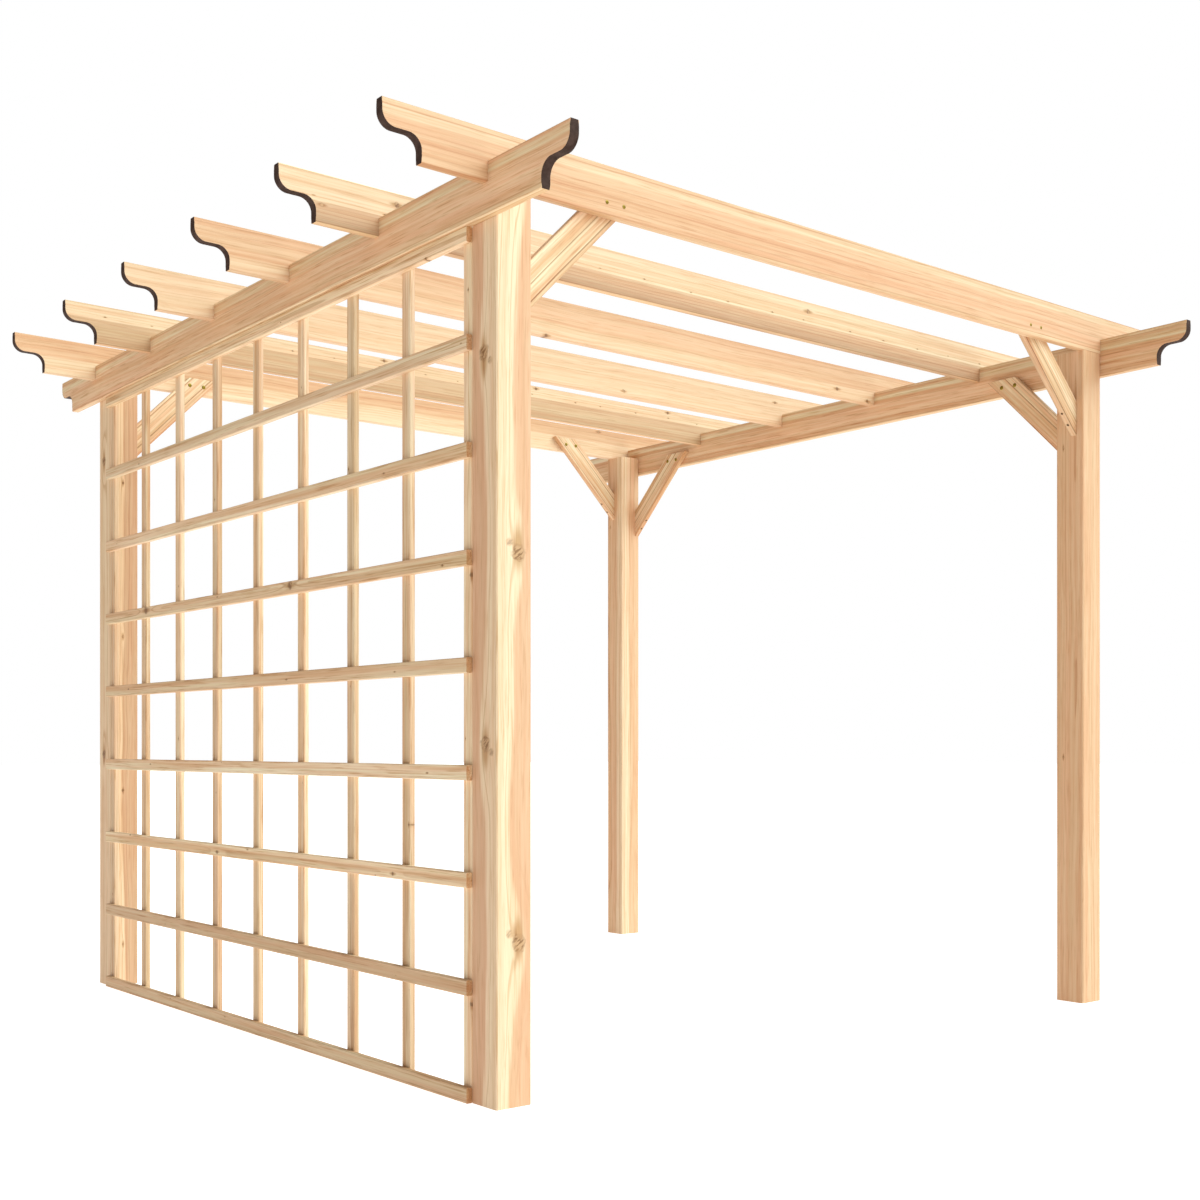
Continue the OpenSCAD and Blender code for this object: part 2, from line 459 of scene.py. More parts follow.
def lay_knots(given, colour, knots):
    """Darkens the grain round a knot, then covers it with cracked brown wood, more so when dead."""
    colour = tint(ease(knots["Flow"], *FLOW_RANGE), colour, FLOW_TINT)
    aslant = {"Vector": given["Vector"], "Rotation": CRACK_TURN, "Scale": CRACK_SIZE}
    crack_place = put("Mapping", aslant, vector_type="TEXTURE")
    crack = scale_add(given["Dead"], DEAD_CRACKS, noise(crack_place, 1.0, CRACK_DETAIL))
    knot_colour = blend(ease(crack, *CRACK_RANGE), KNOT_CRACK, KNOT_WOOD)
    colour = blend(times(knots["Core"], CORE_SHARE), colour, knot_colour)
    return blend(times(knots["Rim"], RIM_SHARE), colour, KNOT_CRACK)


print("knots cover", CORE_SHARE, "of the wood under them")

# %% [markdown]
# The last step joins the parts. Planed wood is rougher where fibres stand up and smoother on hard knots,
# and late wood stands a little proud.

# %% Softwood group
FLECK_TINT, FLECK_RANGE = (0.76, 0.63, 0.49, 1), (0.52, 0.72)
FIBRE_TINT, FIBRE_RANGE = (0.94, 0.89, 0.82, 1), (0.5, 0.75)
END_TINT = (0.84, 0.68, 0.55, 1)
PLANED_ROUGH, FIBRE_ROUGH, KNOT_ROUGH = 0.50, 0.18, -0.12


def make_softwood_group():
    """Solid softwood: colour, roughness and height from a place in the stick."""
    inputs = dict(SOFTWOOD_INPUTS)
    for row in KNOT_ROWS:
        inputs.update({f"{row} {label}": start for label, start in KNOT_INPUTS.items()})
    tree, given, result = new_group("softwood", inputs, {"Color": 4, "Roughness": 1, "Height": 1})
    grain, place = tree_place(given)
    noises = grain_noises(place)
    fleck, fibre = noises["fleck"], noises["fibre"]
    knots = gather_knots(given)
    radius, sway, late, band = grow_rings(given, grain, noises, knots["Bend"])

    colour = heart_and_streaks(given, radius, late, band, noises)
    colour = strip_and_edges(given, colour, sway)
    flecks = times(ease(fleck, *FLECK_RANGE), given["Flecks"])
    colour = tint(flecks, colour, FLECK_TINT)
    colour = tint(ease(fibre, *FIBRE_RANGE), colour, FIBRE_TINT)
    colour = tint(given["End"], colour, END_TINT)
    colour = lay_knots(given, colour, knots)
    rough = scale_add(knots["Core"], KNOT_ROUGH, scale_add(fibre, FIBRE_ROUGH, PLANED_ROUGH))
    relief = weigh((late, 0.6), (fibre, -0.5), (fleck, -0.3), (knots["Rim"], -0.8))
    feed(result, {"Color": colour, "Roughness": rough, "Height": relief})
    return tree


softwood_group = make_softwood_group()
print("softwood group:", len(softwood_group.nodes), "nodes")

# %% [markdown]
# A stick's material only has to say how the stick lies in the tree. A Mapping node turns its length onto
# x and puts its middle at the origin, and the group's inputs say where the pith runs, how wide the
# rings are and where the knots sit. So each of the posts, beams, rafters and braces gets a timber of
# its own from one function.

# %% Timber function
WOOD_RELIEF = 0.0004
SHEEN_LEVEL = 0.32


def new_material(name):
    """A material with nodes: returns it, its node tree and its shader."""
    material = bpy.data.materials.new(name)
    material.use_nodes = True
    return material, material.node_tree, material.node_tree.nodes["Principled BSDF"]


def dress(node, material):
    """Puts a material on a solid of the frame."""
    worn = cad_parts[node].data.materials
    worn.clear()
    worn.append(material)


def finish_wood(shader, vector, look):
    """Places the softwood group with this stick's own values and joins it to the material's shader."""
    wood = put("Group", {"Vector": vector, **look}, node_tree=softwood_group).node.outputs
    bump = put("Bump", {"Height": wood["Height"], "Distance": WOOD_RELIEF})
    feed(shader, {"Base Color": wood["Color"], "Roughness": wood["Roughness"], "Normal": bump})
    feed(shader, {"Specular IOR Level": SHEEN_LEVEL})


def timber(node, along, up, look, lean=0.0):
    """Makes a material for one stick and puts it on: along and up are its length and height directions.

    The place in the stick is the place in the row frame, less the stick's middle, turned so that x runs
    along it, z goes up its height and y through its thickness. Lean turns the grain, in degrees.
    """
    material, tree, shader = new_material("timber_" + node)
    low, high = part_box(node)
    length, height = Vector(along).normalized(), Vector(up).normalized()
    axes = Matrix((length, height.cross(length), height))
    axes = Matrix.Rotation(math.radians(lean), 3, "Y") @ axes
    middle = axes @ ((low + high) / 2)
    place = put("TexCoord", {}, "Object", tree=tree)
    mapping = {"Vector": place, "Location": -middle, "Rotation": axes.to_euler("XYZ")}
    turned = put("Mapping", mapping, vector_type="POINT")
    finish_wood(shader, turned, look)
    dress(node, material)


def sawn(grain, seed, pith, heart):
    """A stick's values: its kind of grain, its seed, and its pith and the heart's radius in millimetres.

    The pith is measured from the stick's middle, through its thickness and up its height.
    """
    return {**grain, "Seed": seed, "Pith": (0, pith[0] / 1000, pith[1] / 1000), "Heart": heart / 1000}


print("sheen of planed wood:", SHEEN_LEVEL)

# %% [markdown]
# Clear knots are placed one by one and small ones are left to dice. A row is written down as with a tape
# measure: the size of a knot, the spacing, and how far the first one is from the stick's middle. In a
# plank the branch goes right through, so the same knot shows on both faces.

# %% Rows of knots
THROUGH = -1.0
ONE_KNOT = 3.3


def knot_row(row, size, spacing, **more):
    """The inputs for one row of knots, in metres and degrees.

    With a first knot at the distance "at" from the stick's middle, the phase follows from the spacing.
    """
    values = {"Size": size, "Spacing": spacing, "Phase": spacing / 2 - more.pop("at", 0.0)}
    for label, value in more.items():
        angle = label in ("turn", "spread")
        values[label.capitalize()] = math.radians(value) if angle else value
    return {f"{row} {label}": value for label, value in values.items()}


def wild_knots(row, size, spacing):
    """A row of knots that are thrown anywhere round a stick."""
    return knot_row(row, size, spacing, roam=0.7, spread=360.0)


def plank_knots(row, size, spacing, **more):
    """A row of knots that go right through a plank, from face to face."""
    return knot_row(row, size, spacing, start=THROUGH, **more)


def pin_knots(height):
    """A row of pin knots near a line, in metres up from the plank's middle."""
    return plank_knots("B", 0.0022, 0.172, at=0.161, roam=0.3, offset=height, scatter=0.006)


print("a plank with one knot has the next one", ONE_KNOT, "m on, past its end")

# %% [markdown]
# The posts are boxed out of small trunks, so one corner of each is sapwood and the rest is heart. Knots
# could all be left to dice, but on posts the large ones catch the eye, so on three of them they are
# placed one by one. The front left one has a large knot with a twin on its front and such a pair on its
# left face, at the spacing of the whorls of branches on a young tree.

# %% Posts
UP, FORWARD = (0, 0, 1), (0, -1, 0)
TO_LEFT, TO_FRONT = 0.0, 90.0
WHORL = 0.894
CREAM = (0.80, 0.580, 0.374, 1)
SOFT_PEACH = (0.685, 0.408, 0.240, 1)
PINK_HEART = (0.605, 0.372, 0.215, 1)
TAN_HEART = (0.690, 0.428, 0.246, 1)
LIGHT_HEART = (0.730, 0.449, 0.260, 1)
POST_GRAIN = {
    "Ring": 0.0085, "Ring depth": 0.60, "Late start": 0.72, "Heart edge": 0.006, "Streaks": 0.5,
    "Flecks": 0.5, "Grain": 0.6, "Wander": 0.02,
}
post_looks = {
    "post_front_left": {
        **sawn(POST_GRAIN, 1, (-42.5, -42), 102),
        "Sapwood": CREAM, "Heartwood": SOFT_PEACH, "Heart edge": 0.003, "Sway": 0.010,
        "Wander": -0.024, "Streaks": 0.36, "Flecks": 0.55,
        **knot_row("A", 0.0195, WHORL, at=0.219, turn=TO_FRONT, offset=0.012, twin=1.0),
        **knot_row("B", 0.0185, WHORL, at=0.678, turn=TO_LEFT, offset=0.002, twin=-1.0),
    },
    "post_front_right": {
        **sawn(POST_GRAIN, 2, (30, 20), 92),
        "Heartwood": TAN_HEART,
        **knot_row("A", 0.0042, 1.003, at=0.744, turn=TO_LEFT, offset=-0.0235),
    },
    "post_back_right": {
        **sawn(POST_GRAIN, 3, (-45, -50), 113),
        "Sapwood": CREAM, "Heartwood": LIGHT_HEART, "Sway": 0.012,
        **wild_knots("A", 0.003, 0.6),
    },
    "post_back_left": {
        **sawn(POST_GRAIN, 4, (-60, -20), 94),
        "Heartwood": PINK_HEART, "Heart edge": 0.003, "Sway": 0.012, "Dead": 0.6,
        **knot_row("A", 0.0048, 0.533, at=0.689, turn=TO_FRONT, offset=-0.004),
        **knot_row("B", 0.015, 1.018, at=0.767, turn=TO_LEFT, offset=-0.009),
    },
}
post_leans = {"post_front_left": -0.35}
for name, look in post_looks.items():
    timber(name, UP, FORWARD, look, lean=post_leans.get(name, 0.0))
print("posts:", len(post_looks), "with", WHORL, "m between whorls on the first")

# %% [markdown]
# Beams and rafters are planks from the side of the log. Where a plank takes in the line between heart
# and sapwood, it shows two tones along its length. The first rafter and the beams are peach with a pale
# strip near the top and pale edges with a thin dark line before them, which are painted highlight and
# painted shade, as light on a small bevel would give. The second and the fifth are cream above and brown
# below, darker towards the foot, with a sharp straight line and a row of pin knots beside it, and a
# painted highlight along their edges. The fourth is all sapwood. A painted band would do for the line
# on one face, but a pith far below the plank draws it on both faces and the ends.

# %% Beams and rafters
PLANK_GRAIN = {
    "Ring": 0.009, "Ring depth": 0.35, "Heart edge": 0.005, "Streaks": 0.45, "Flecks": 0.5,
    "Dead": 0.5, "Grain": 0.55, "Wander": 0.016,
}
TWO_TONE_GRAIN = {
    "Heart edge": 0.0008, "Sway": 0.0015, "Wander": 0.002, "Streaks": 0.5, "Strip": -0.060,
    "Strip fade": 0.036, "Edge": 0.0585,
}
FAR_PITH = 600
PALE_EDGE = 0.053
RAFTER_LEAN, BEAM_LEAN = 0.25, 0.2
BEAM_HEART = (0.740, 0.466, 0.274, 1)
PEACH = (0.682, 0.404, 0.229, 1)
LIGHT_PEACH, TAN_SAP = (0.690, 0.424, 0.246, 1), (0.730, 0.490, 0.300, 1)
PALE_SAP = (0.745, 0.507, 0.313, 1)
# The rims are painted highlight along the edges of the two-tone planks.
WARM_BROWN, WARM_FOOT, WARM_RIM_HIGHLIGHT = (0.62, 0.395, 0.232, 1), (0.76, 0.73, 0.69, 1), (1.83, 2.07, 2.11, 1)
GREY_BROWN, GREY_FOOT, GREY_RIM_HIGHLIGHT = (0.59, 0.390, 0.224, 1), (0.91, 0.89, 0.87, 1), (1.38, 1.36, 1.37, 1)


def two_tone(seed, line, brown, foot, rim):
    """A plank with a straight line between cream and brown, in millimetres up from its middle.

    The pith is so far below that its heart ends in a straight line. The brown is tinted by foot towards
    the lower edge and by rim on the edges themselves, where rim is a painted highlight.
    """
    look = sawn(PLANK_GRAIN, seed, (0, -FAR_PITH), FAR_PITH + line)
    return {**look, **TWO_TONE_GRAIN, "Heartwood": brown, "Strip tint": foot, "Edge highlight": rim}


def highlight_strip(height):
    """A strip of painted highlight near the upper edge, in metres up from the middle, and painted
    highlight along both edges with a thin painted shade line.
    """
    return {"Strip": height, "Edge": PALE_EDGE}


rafter_looks = {
    "rafter_1": {
        **sawn(PLANK_GRAIN, 11, (25, -60), 140),
        "Heartwood": PEACH, "Streaks": 0.52,
        **highlight_strip(0.042),
    },
    "rafter_2": {
        **two_tone(12, -8, WARM_BROWN, WARM_FOOT, WARM_RIM_HIGHLIGHT),
        "Dead": 0.15,
        **plank_knots("A", 0.0075, 1.502, at=0.331, offset=0.030),
        **pin_knots(0.0),
        **plank_knots("C", 0.0052, ONE_KNOT, at=-1.384, offset=-0.016),
    },
    "rafter_3": {
        **sawn(PLANK_GRAIN, 13, (15, 95), 111),
        "Heartwood": LIGHT_PEACH, "Sapwood": TAN_SAP, "Dead": 1.0,
        **plank_knots("A", 0.006, 1.499, at=-0.34, offset=-0.055, twin=0.8),
        **plank_knots("B", 0.007, ONE_KNOT, at=0.994, offset=-0.032),
    },
    "rafter_4": {
        **sawn(PLANK_GRAIN, 14, (30, -260), 120),
        "Sapwood": PALE_SAP, "Streaks": 0.32, "Dead": 0.3,
        **plank_knots("A", 0.0055, ONE_KNOT, at=0.377, offset=-0.042, twin=-0.8),
        **plank_knots("B", 0.0055, ONE_KNOT, at=1.159, offset=0.024),
    },
    "rafter_5": {
        **two_tone(15, 16, GREY_BROWN, GREY_FOOT, GREY_RIM_HIGHLIGHT),
        **plank_knots("A", 0.006, 0.681, at=0.332, offset=0.05),
        **pin_knots(0.026),
    },
    "rafter_6": {
        **sawn(PLANK_GRAIN, 16, (30, 110), 116),
        "Dead": 0.2,
        **plank_knots("A", 0.006, 1.9, at=1.03, offset=0.045),
    },
}
for name, look in rafter_looks.items():
    straight = name in ("rafter_2", "rafter_5")
    timber(name, (1, 0, 0), UP, look, lean=0.0 if straight else RAFTER_LEAN)
beam_look = {"Streaks": 0.7, "Flecks": 0.9, "Heartwood": BEAM_HEART, **highlight_strip(0.037)}
left_beam = {**sawn(PLANK_GRAIN, 17, (-20, -60), 140), **beam_look}
right_beam = {**sawn(PLANK_GRAIN, 18, (20, -55), 140), **beam_look}
timber("beam_left", (0, 1, 0), UP, left_beam, lean=-BEAM_LEAN)
timber("beam_right", (0, 1, 0), UP, right_beam, lean=BEAM_LEAN)
print("planks:", len(rafter_looks) + 2)

# %% [markdown]
# The braces are short and come from fast-grown wood with wide rings, so each shows a few strong lines
# along its length. They stand at 45 degrees, towards the middle of the bay. As they come out of one
# batch, they share all their values, and only the seed tells them apart.

# %% Braces
BRACE_GRAIN = {
    "Pith": (0, 0.01, -0.3), "Heart": 0.31, "Heart edge": 0.02, "Sway": 0.006, "Ring": 0.0098,
    "Ring depth": 1.0, "Streaks": 0.9, "Flecks": 0.5, "Late wood": (0.40, 0.28, 0.165, 1),
}
FIRST_BRACE = 31
brace_runs = {
    "brace_front_left": (1, 0, 1), "brace_front_right": (-1, 0, 1), "brace_back_left": (1, 0, 1),
    "brace_back_right": (-1, 0, 1), "brace_side_front": (0, 1, 1), "brace_side_back": (0, -1, 1),
}
for seed, (name, run) in enumerate(brace_runs.items(), start=FIRST_BRACE):
    rise = Vector(run)
    square_to_run = Vector((-rise.x, -rise.y, rise.z))
    timber(name, run, square_to_run, {"Seed": seed, **BRACE_GRAIN})
print("braces:", len(brace_runs))

# %% [markdown]
# The trellis is one fused panel, but it was nailed together from eighteen battens, and each of them was
# sawn from another piece of wood. The material finds the batten by itself: a point just under the
# surface lies in a rail if it is outside the line of the posts and in an upright if it is inside, and
# its height, or its distance along the side, gives the number of the batten.

# %% Trellis sizes
BATTEN = 0.036
GAPS = 8
UNDER_SKIN = 0.003
END_LIMIT = 0.8
panel_low, panel_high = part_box("trellis")
post_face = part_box("post_front_left")[0].x
rail_pitch = (panel_high.z - panel_low.z - BATTEN) / GAPS
upright_pitch = (panel_high.y - panel_low.y - BATTEN) / GAPS


def pick(choice, no, yes):
    """A value that is no at choice 0 and yes at choice 1."""
    return put("Mix", {0: choice, 2: no, 3: yes}, data_type="FLOAT")


def find_batten(tree):
    """For a point of the panel: is it in a rail, the batten's count, the place in it and is it on an end.

    The point is taken a little under the surface, so that where two battens touch each keeps its own.
    """
    surface = put("TexCoord", {}, "Object", tree=tree)
    normal = put("NewGeometry", {}, "True Normal", tree=tree)
    x, y, z = split(vector_calc("MULTIPLY_ADD", normal, (-UNDER_SKIN,) * 3, surface))
    is_rail = calc("LESS_THAN", x, post_face)
    reach = pick(is_rail, minus(y, panel_low.y), z)
    pitch = pick(is_rail, upright_pitch, rail_pitch)
    count = calc("FLOOR", calc("DIVIDE", reach, pitch))
    across = minus(reach, times(count, pitch))
    across = minus(across, BATTEN / 2)
    along, through = pick(is_rail, z, y), minus(x, post_face)
    vector = put("CombineXYZ", {0: along, 1: through, 2: across})
    _, end_y, end_z = split(normal)
    facing = calc("ABSOLUTE", pick(is_rail, end_z, end_y))
    return is_rail, count, vector, calc("GREATER_THAN", facing, END_LIMIT)


print("trellis: rails every", round(rail_pitch, 3), "m, uprights every", round(upright_pitch, 3), "m")

# %% [markdown]
# The number moves the pattern to another place in the tree, and dice make some battens pale and others
# dark, rails more so than uprights. One rail has two large knots and another two pins, and the front
# upright has knots near its edge. Eighteen materials would do as well, but would need a panel cut up.

# %% Trellis
FIRST_RAIL, FIRST_UPRIGHT = 51.0, 72.0
RAIL_TONES, UPRIGHT_TONES = 786360.0, 2305886.0
RAIL_SPREAD, UPRIGHT_SPREAD = 1.0, 0.6
DARK_BATTEN, PALE_BATTEN = (0.645, 0.450, 0.285, 1), (0.985, 0.815, 0.600, 1)
RAIL_TINT, UPRIGHT_TINT = (1.0, 1.0, 0.972, 1), (0.963, 0.909, 0.848, 1)
RAIL_HEART, UPRIGHT_HEART = (0.88, 0.80, 0.72, 1), (0.94, 0.895, 0.85, 1)
SAME = 0.1
KNOTTY_RAIL, KNOTTY_UPRIGHT, BATTEN_WHORL = 5.0, 0.0, 0.995
RAIL_KNOT, RAIL_KNOT_AT, RAIL_KNOT_UP = 0.012, -0.24, 0.006
UPRIGHT_KNOT, UPRIGHT_KNOT_AT, UPRIGHT_KNOT_BACK = 0.0055, 0.228, -0.014
PIN_RAIL, PIN_KNOT, PIN_WHORL, PIN_AT, PIN_UP = 2.0, 0.0055, 1.0, -0.778, -0.0055
PITH_SIDE, PITH_HEIGHT = (-0.05, -0.02), (0.06, -0.03)
BATTEN_GRAIN = {
    "Heart": 0.05, "Heart edge": 0.012, "Sway": 0.010, "Ring": 0.006, "Ring depth": 0.6,
    "Late start": 0.68, "Late wood": (0.62, 0.47, 0.33, 1), "Streaks": 0.82, "Flecks": 1.0,
    "Grain": 0.45, "Dead": 0.6,
}


def batten_colours(is_rail, count):
    """Sapwood and heartwood of a batten: a tone by dice, and a tint for its kind."""
    roll = calc("ADD", count, pick(is_rail, UPRIGHT_TONES, RAIL_TONES))
    _, _, tone = split(dice(roll, 1))
    spread = pick(is_rail, UPRIGHT_SPREAD, RAIL_SPREAD)
    tone = scale_add(minus(tone, 0.5), spread, 0.5)
    sapwood = blend(tone, DARK_BATTEN, PALE_BATTEN)
    sapwood = tint(1.0, sapwood, blend(is_rail, UPRIGHT_TINT, RAIL_TINT))
    heartwood = tint(1.0, sapwood, blend(is_rail, UPRIGHT_HEART, RAIL_HEART))
    return {"Sapwood": sapwood, "Heartwood": heartwood}


def batten_knots(is_rail, count, number):
    """Tiny pins on every batten, and larger knots whose size is 0 on all battens but those named above."""
    knotty = calc("COMPARE", count, pick(is_rail, KNOTTY_UPRIGHT, KNOTTY_RAIL), SAME)
    knot_at = pick(is_rail, UPRIGHT_KNOT_AT, RAIL_KNOT_AT)
    pinned = calc("COMPARE", number, FIRST_RAIL + PIN_RAIL, SAME)
    knots = {
        **plank_knots("A", 0.002, 0.8, roam=0.8, scatter=0.03),
        **plank_knots("B", 0.0, BATTEN_WHORL),
        **plank_knots("C", 0.0, PIN_WHORL, at=PIN_AT, offset=PIN_UP),
    }
    knots["B Phase"] = minus(BATTEN_WHORL / 2, knot_at)
    knots["B Offset"] = pick(is_rail, UPRIGHT_KNOT_BACK, RAIL_KNOT_UP)
    knots["B Size"] = times(knotty, pick(is_rail, UPRIGHT_KNOT, RAIL_KNOT))
    knots["C Size"] = times(pinned, PIN_KNOT)
    return knots


def trellis_timber():
    """Softwood for the panel, with a place in the tree for each batten from dice of its own number."""
    material, tree, shader = new_material("timber_trellis")
    is_rail, count, vector, end = find_batten(tree)
    number = calc("ADD", count, pick(is_rail, FIRST_UPRIGHT, FIRST_RAIL))
    side_die, height_die, _ = split(dice(number, 1))
    pith = put("CombineXYZ", {1: scale_add(side_die, *PITH_SIDE), 2: scale_add(height_die, *PITH_HEIGHT)})
    look = {**BATTEN_GRAIN, "Seed": number, "Pith": pith, "End": end}
    look.update(batten_colours(is_rail, count))
    look.update(batten_knots(is_rail, count, number))
    finish_wood(shader, vector, look)
    dress("trellis", material)


trellis_timber()
print("battens:", 2 * (GAPS + 1))

# %% [markdown]
# Two things are missing on the solids: the stain on the sawn ends and the screws. Both are made of rings
# of points, each joined to the next one, so one function turns an array of rings into a closed mesh. A
# curve with a bevel could do it too, but its corners are harder to keep sharp.

# %% Mesh from arrays


def piece_from_rings(name, rings, material):
    """A closed mesh from rings of points: an array of strips, steps along the path and points around.

    Neighbouring rings are joined by quads, and the first and the last ring of each strip are capped.
    """
    strips, steps, around, _ = rings.shape
    index = np.arange(strips * steps * around).reshape(strips, steps, around)
    here, there = index[:, :-1], index[:, 1:]
    quads = np.stack([here, np.roll(here, -1, 2), np.roll(there, -1, 2), there], -1).reshape(-1, 4)
    caps = np.concatenate([index[:, 0, ::-1], index[:, -1]]).tolist()
    mesh = bpy.data.meshes.new(name)
    mesh.from_pydata(rings.reshape(-1, 3).tolist(), [], quads.tolist() + caps)
    mesh.validate()
    mesh.materials.append(material)
    piece = bpy.data.objects.new(name, mesh)
    bpy.context.scene.collection.objects.link(piece)
    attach(piece, "root")
    return piece


print("mesh helper: rings of points to closed strips")

# %% [markdown]
# The sawn ends of the beams and rafters are end grain, which drinks water, so they are sealed with a dark
# brown stain. One flat brown would look like plastic, so the stain is thin and thick by turns, in clouds
# and in fine pores, and nearly without shine.

# %% Stain material
STAIN_DEEP = (0.034, 0.018, 0.013, 1)
STAIN_THIN = (0.076, 0.045, 0.035, 1)
STAIN_RANGE = (0.3, 0.7)
STAIN_SHINE = 0.05
STAIN_ROUGH, PORE_ROUGH = 0.50, 0.25
CLOUD_SCALE, CLOUD_DETAIL, CLOUD_SHARE = 60.0, 4.0, 0.65
PORE_SCALE, PORE_SHARE, PORE_DEPTH, PORE_STRENGTH = 900.0, 0.35, 0.0003, 0.6


def stain_material():
    """Brown wood stain: clouds and pores decide where it is thin or thick, with a dull shine."""
    material, tree, shader = new_material("end_stain")
    place = put("TexCoord", {}, "Object", tree=tree)
    cloud = noise(place, CLOUD_SCALE, CLOUD_DETAIL)
    pores = noise(place, PORE_SCALE)
    share = scale_add(pores, PORE_SHARE, times(cloud, CLOUD_SHARE))
    colour = blend(ease(share, *STAIN_RANGE), STAIN_DEEP, STAIN_THIN)
    rough = scale_add(pores, PORE_ROUGH, STAIN_ROUGH)
    bump = put("Bump", {"Height": pores, "Distance": PORE_DEPTH, "Strength": PORE_STRENGTH})
    feed(shader, {"Base Color": colour, "Roughness": rough, "Normal": bump})
    feed(shader, {"Specular IOR Level": STAIN_SHINE})
    return material


end_stain = stain_material()
print("stain:", end_stain.name)

# %% [markdown]
# The ends are sawn to an ogee: a round nose above and a hollow below. The stain could be a mask in the
# timber's material, but it has to stop sharply at the edges, so it is a coat of its own: a flat
# rectangle, as wide as the plank is thick, is carried down the curve and set square to it at every step.

# %% Stained scroll ends
SCROLL_LENGTH = 0.100
SCROLL_RADIUS = 0.034
ARRIS = 0.002
COAT = 0.0003
COAT_ROOT = 0.0004
SIDE_COAT = COAT / 3
ARC_STEPS = 17
STRAIGHT_STEPS = 3


def ogee_path(height):
    """Points and outward directions down a scroll, as distance in from the tip and height on the plank.

    Five stretches: down the nose, a quarter circle under it, level at half height, a quarter circle
    that hollows the other way, and down to the lower edge.
    """
    r, middle = SCROLL_RADIUS, height / 2
    quarter = np.linspace(0, math.pi / 2, ARC_STEPS)
    fall, rest = np.linspace(0, 1, STRAIGHT_STEPS), np.zeros(STRAIGHT_STEPS)
    nose = np.stack([rest, height + fall * (middle + r - height)], 1)
    under = np.stack([r - r * np.cos(quarter), middle + r - r * np.sin(quarter)], 1)
    flat = np.stack([r + fall * (SCROLL_LENGTH - 2 * r), rest + middle], 1)
    hollow = np.stack([SCROLL_LENGTH - r + r * np.sin(quarter), middle - r + r * np.cos(quarter)], 1)
    foot = np.stack([rest + SCROLL_LENGTH, (1 - fall) * (middle - r)], 1)
    path = np.concatenate([nose, under[1:], flat[1:], hollow[1:], foot[1:]])
    heading = np.gradient(path, axis=0)
    heading /= np.linalg.norm(heading, axis=1, keepdims=True)
    return path, np.stack([heading[:, 1], -heading[:, 0]], 1)


def stain_ends(node, along):
    """Coats both scrolls of a plank: a rectangle, coat thick and plank wide, carried along the ogee.

    The two ends mirror each other, so the rings of one run the other way round, to face outwards.
    """
    low, high = (np.array(corner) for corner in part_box(node))
    across = 1 - along
    path, outward = ogee_path(high[2] - low[2])
    edge = np.minimum(path[:, 1], high[2] - low[2] - path[:, 1])
    half = (high[across] - low[across]) / 2 - np.clip(ARRIS - edge, 0, ARRIS) + SIDE_COAT
    side = np.array([-1, 1, 1, -1])
    depth = np.array([-COAT_ROOT, -COAT_ROOT, COAT, COAT])
    flat = path[:, None] + outward[:, None] * depth[None, :, None]
    rings = np.zeros((2, len(path), len(side), 3))
    rings[0, ..., along] = low[along] + flat[..., 0]
    rings[1, ..., along] = high[along] - flat[..., 0]
    rings[..., across] = (low[across] + high[across]) / 2 + half[:, None] * side
    rings[..., 2] = low[2] + flat[..., 1]
    turned = 0 if along == 1 else 1
    rings[turned] = rings[turned, :, ::-1]
    return piece_from_rings("stain_" + node, rings, end_stain)


stained = [stain_ends(name, 0) for name in rafter_looks]
stained += [stain_ends(name, 1) for name in ("beam_left", "beam_right")]
print("stained ends:", 2 * len(stained))

# %% [markdown]
# Each brace is held by two brass coated screws through its head and two darker ones through its foot.
# The foot screws are real, but their darker colour is painted shade, as of heads sunk into the wood.
# The coat is thin and wears off in small patches, which are darker and duller than the rest.

# %% Screw material
BRASS, WORN_BRASS, BRASS_ROUGH = (0.36, 0.255, 0.042, 1), (0.22, 0.15, 0.032, 1), 0.25
# Painted shade: the darker coat of the foot screws stands in for the shade of heads sunk into the wood.
SHADED_BRONZE, WORN_SHADED_BRONZE, BRONZE_ROUGH = (0.20, 0.12, 0.06, 1), (0.11, 0.065, 0.035, 1), 0.35
WEAR_SCALE, WEAR_DETAIL, WEAR_RANGE, WEAR_ROUGH = 500.0, 3.0, (0.4, 0.65), 0.3


def screw_material(name, colour, worn, roughness):
    """Coated steel: metal with a colour that thins in small patches."""
    material, tree, shader = new_material(name)
    place = put("TexCoord", {}, "Object", tree=tree)
    wear = noise(place, WEAR_SCALE, WEAR_DETAIL)
    coat = blend(ease(wear, *WEAR_RANGE), colour, worn)
    rough = scale_add(wear, WEAR_ROUGH, roughness)
    feed(shader, {"Metallic": 1.0, "Base Color": coat, "Roughness": rough})
    return material


brass = screw_material("brass_coat", BRASS, WORN_BRASS, BRASS_ROUGH)
shaded_bronze = screw_material("shaded_bronze_coat", SHADED_BRONZE, WORN_SHADED_BRONZE, BRONZE_ROUGH)
print("screws:", brass.name, "and", shaded_bronze.name)

# %% [markdown]
# A pan head is a dome turned on a lathe with a cross pressed into it. It could be cut with a boolean, but
# one height function of the distance from the middle and the angle gives dome and cross at once, as a
# clean grid, with its edge turned down into the wood.

# %% Screw heads
HEAD_RINGS, HEAD_SPOKES = 10, 40
HUB, DOME, DOME_ROUND, SKIRT = 0.06, 0.34, 1.06, 0.25
CROSS_HALF, CROSS_SLOPE, CROSS_REACH, CROSS_END, CROSS_DEPTH = 0.17, 0.06, 0.62, 0.12, 0.24


